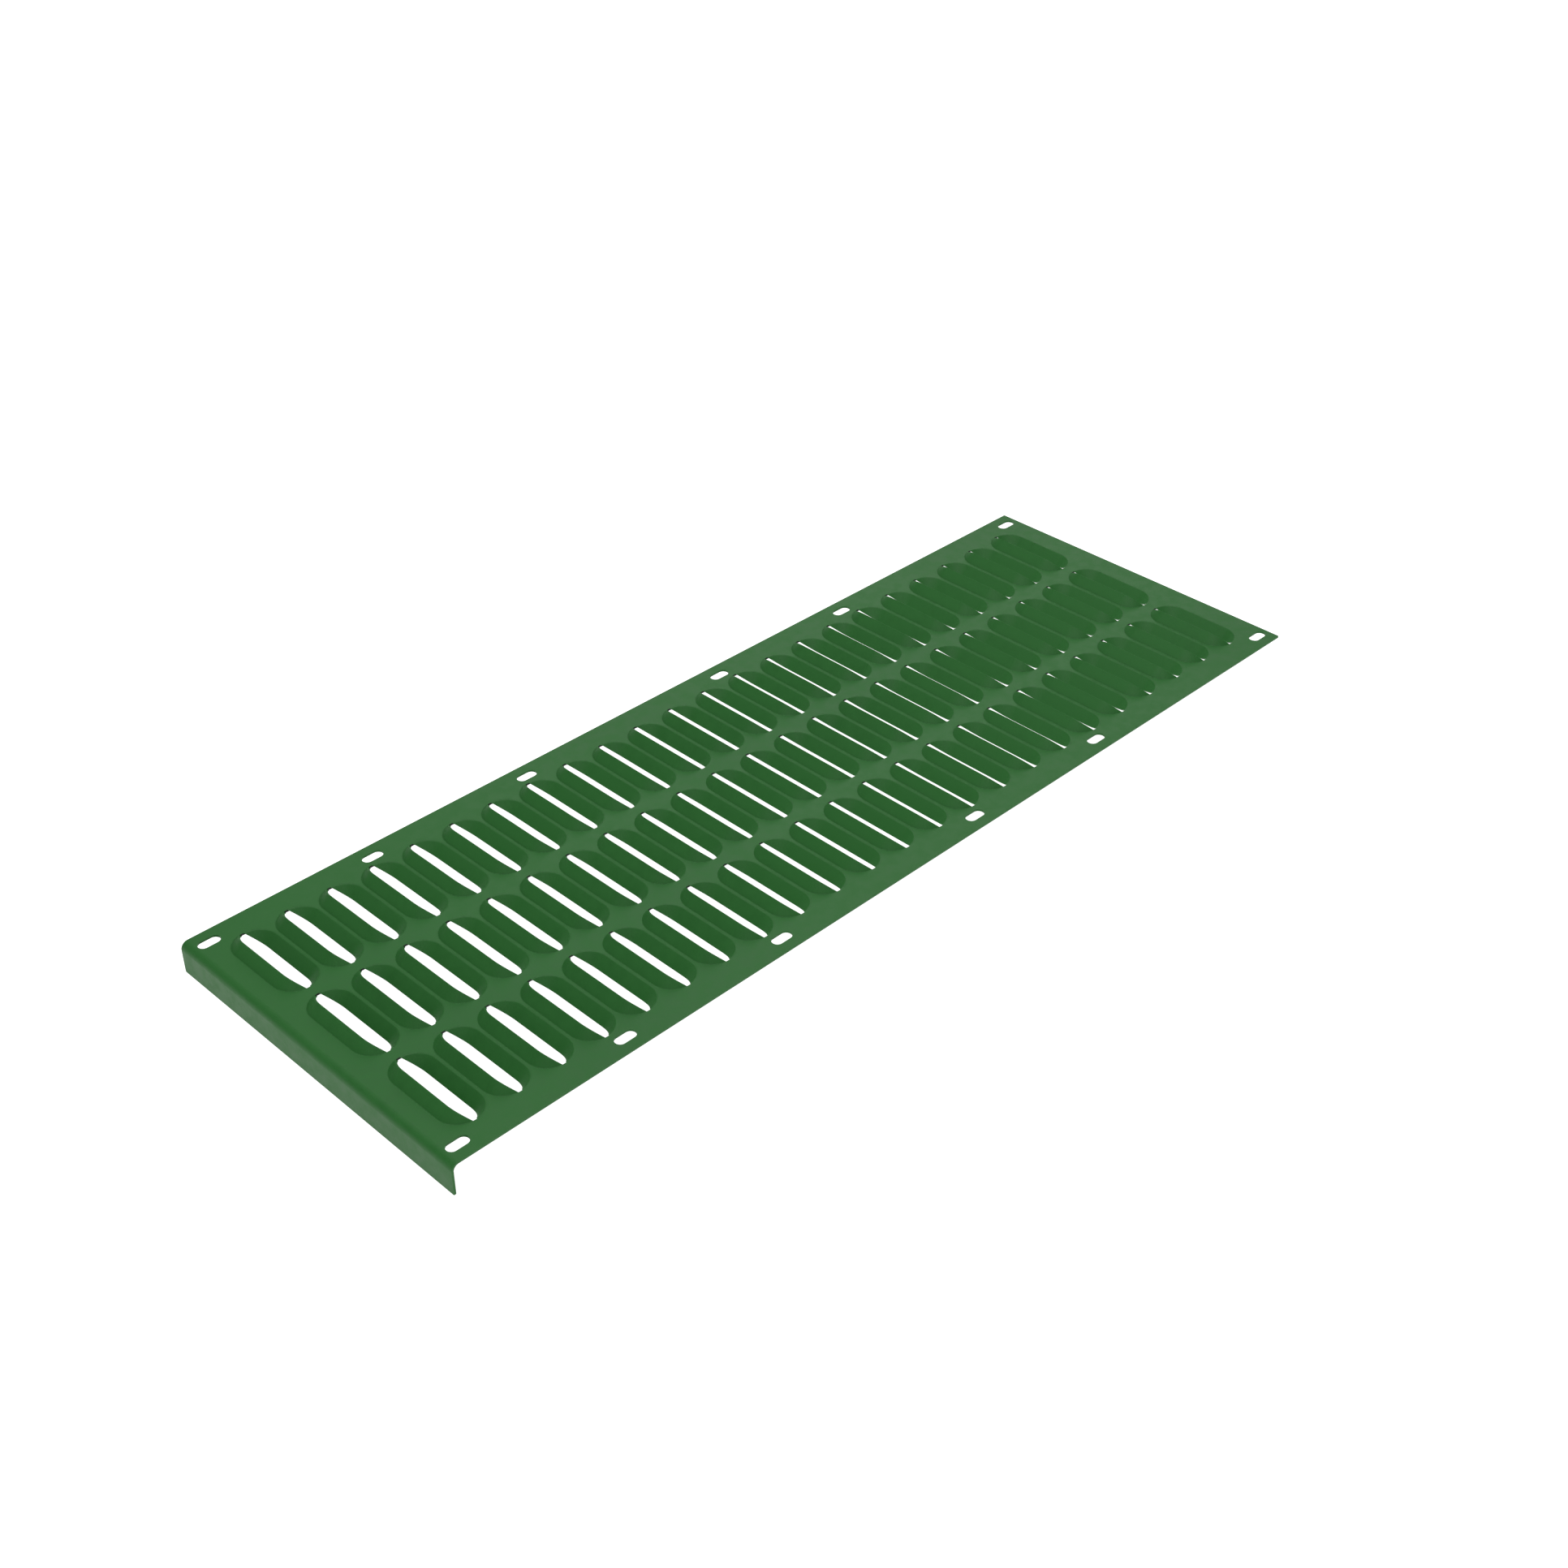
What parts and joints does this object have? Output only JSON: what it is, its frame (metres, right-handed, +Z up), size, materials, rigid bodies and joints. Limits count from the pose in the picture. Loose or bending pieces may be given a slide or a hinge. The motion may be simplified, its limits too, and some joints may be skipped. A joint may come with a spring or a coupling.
{
  "type": "louvred deck plank",
  "caption": "Louvred sheet-metal deck plank with raised and lowered lips, slotted bolt holes along both long edges and a flange turned down at one short end.",
  "frame": {"origin": "middle of the four corner slots, on the underside of the sheet, which is the plane that rests on the supporting frame", "axes": "+X along the plank from the flanged end to the plain end, +Y across it, +Z up out of the walking face"},
  "size_m": [0.871, 0.3, 0.0326],
  "materials": {
    "green_coating": "satin green powder coat on sheet steel"
  },
  "bodies": {
    "root": {"deck_panel": "green_coating"}
  },
  "joints": []
}
